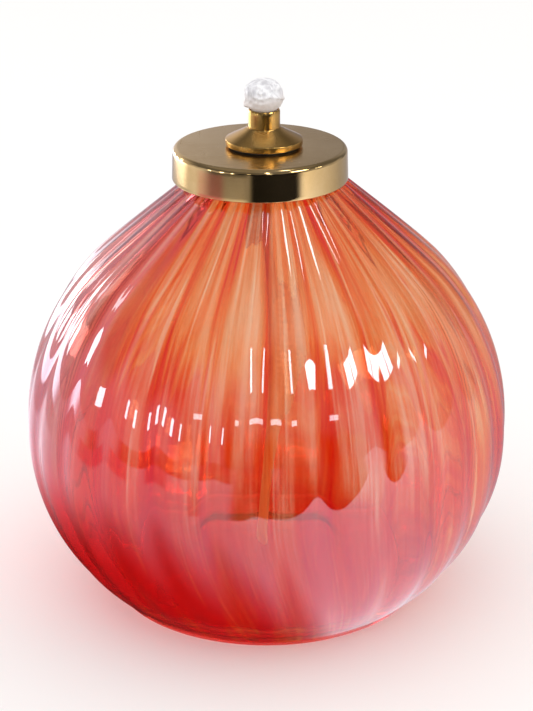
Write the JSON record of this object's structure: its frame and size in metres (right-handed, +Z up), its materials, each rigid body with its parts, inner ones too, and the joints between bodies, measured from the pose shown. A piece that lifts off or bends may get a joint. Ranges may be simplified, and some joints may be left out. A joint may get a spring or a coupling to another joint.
{
  "type": "oil lamp",
  "caption": "Small table oil lamp: ribbed orange blown glass ball that holds the oil, with a loose brass cap, a turned brass wick holder and a round fibreglass wick.",
  "frame": {"origin": "centre of the base's rest ring, on the plane that the lamp stands on", "axes": "+Z up the lamp's axis of revolution; -Y is taken as the front, with +X to its right"},
  "size_m": [0.114, 0.1132, 0.1246],
  "materials": {
    "ribbed_glass": "glossy, streaked orange and red, with a thin pink and lilac lustre",
    "seal_rubber": "matt, milky",
    "cap_brass": "pale, polished skirt and satin top",
    "dark_fibre": "matt vulcanised fibre",
    "holder_brass": "satin, with turning marks",
    "hardware_brass": "plain, as machined",
    "wick_fibreglass": "white glass yarn, matt with fine silky strands"
  },
  "bodies": {
    "globe": {"glass_globe": "ribbed_glass", "glass_shoulder": "ribbed_glass"},
    "seal": {"neck_gasket": "seal_rubber"},
    "cap": {"brass_cap": "cap_brass", "seat_washer": "dark_fibre", "wick_holder": "holder_brass", "nut_washer": "hardware_brass", "lock_nut": "hardware_brass"},
    "wick": {"wick": "wick_fibreglass"}
  },
  "joints": [
    {"name": "cap_turn", "type": "hinge", "parent": "globe", "child": "seal", "pos_m": [0, 0, 0.1075], "axis": [0, 0, 1], "continuous": true},
    {"name": "cap_lift", "type": "slide", "parent": "seal", "child": "cap", "axis": [0, 0, 1], "range_m": [0, 0.11]},
    {"name": "wick_feed", "type": "slide", "parent": "cap", "child": "wick", "axis": [0, 0, 1], "range_m": [0, 0.01]}
  ]
}
